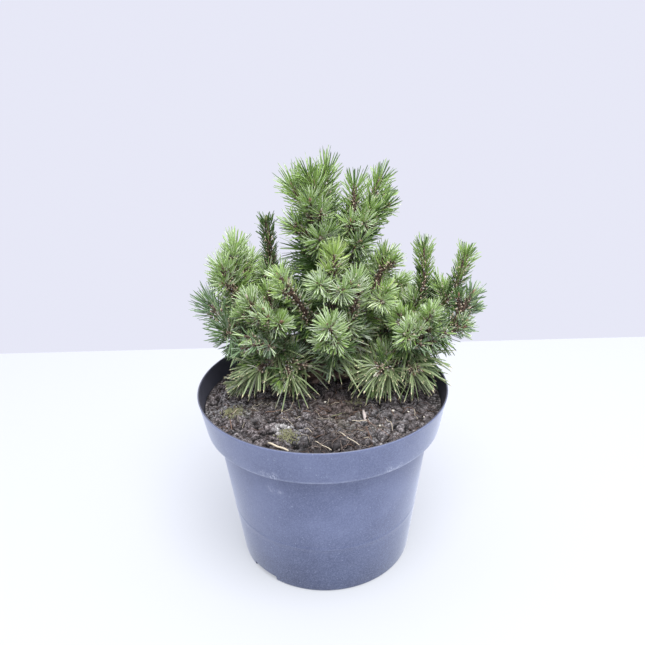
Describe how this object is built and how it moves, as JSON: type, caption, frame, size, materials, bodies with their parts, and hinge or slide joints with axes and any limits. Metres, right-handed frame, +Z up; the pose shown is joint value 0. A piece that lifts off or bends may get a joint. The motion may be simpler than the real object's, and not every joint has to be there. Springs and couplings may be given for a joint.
{
  "type": "potted dwarf mountain pine",
  "caption": "Dwarf mountain pine with a low, many-branched crown of needle-covered shoots, growing from soil in a tapered nursery pot with a stepped collar.",
  "frame": {"origin": "middle of the pot's flat underside", "axes": "+Z up along the pot's axis, -Y towards the viewer of the picture, +X to the viewer's right"},
  "size_m": [0.2684, 0.2564, 0.3802],
  "materials": {
    "pot": "satin moulded plastic, slate grey",
    "soil": "moist peat with fibres",
    "bark": "scaly reddish brown bark",
    "needles": "glossy mid-green needles"
  },
  "bodies": {
    "root": {"pot": "pot", "soil": "soil", "trunk": "bark", "bough_top_right": "bark", "bough_centre": "bark", "bough_left": "bark", "bough_left_spike": "bark", "bough_left_outer": "bark", "bough_front_left": "bark", "bough_left_low": "bark", "bough_front": "bark", "bough_front_right": "bark", "bough_right_centre": "bark", "bough_right": "bark", "bough_right_tip": "bark", "bough_right_outer": "bark", "bough_right_front": "bark", "bough_skirt_left": "bark", "bough_skirt_right": "bark", "bough_back": "bark", "bough_back_left": "bark", "bough_back_right": "bark", "bough_back_low": "bark", "bough_back_low_left": "bark", "bough_back_low_right": "bark", "needles_top_left": "needles", "needles_top_right": "needles", "needles_centre": "needles", "needles_left_spike": "needles", "needles_left_upper": "needles", "needles_left_outer": "needles", "needles_front_left": "needles", "needles_left_front": "needles", "needles_front": "needles", "needles_front_right": "needles", "needles_right_centre": "needles", "needles_right_spike": "needles", "needles_right_tip": "needles", "needles_right_outer": "needles", "needles_right_front": "needles", "needles_skirt_left": "needles", "needles_skirt_right": "needles", "needles_back": "needles", "needles_back_left": "needles", "needles_back_right": "needles", "needles_back_low": "needles", "needles_back_low_left": "needles", "needles_back_low_right": "needles"}
  },
  "joints": []
}
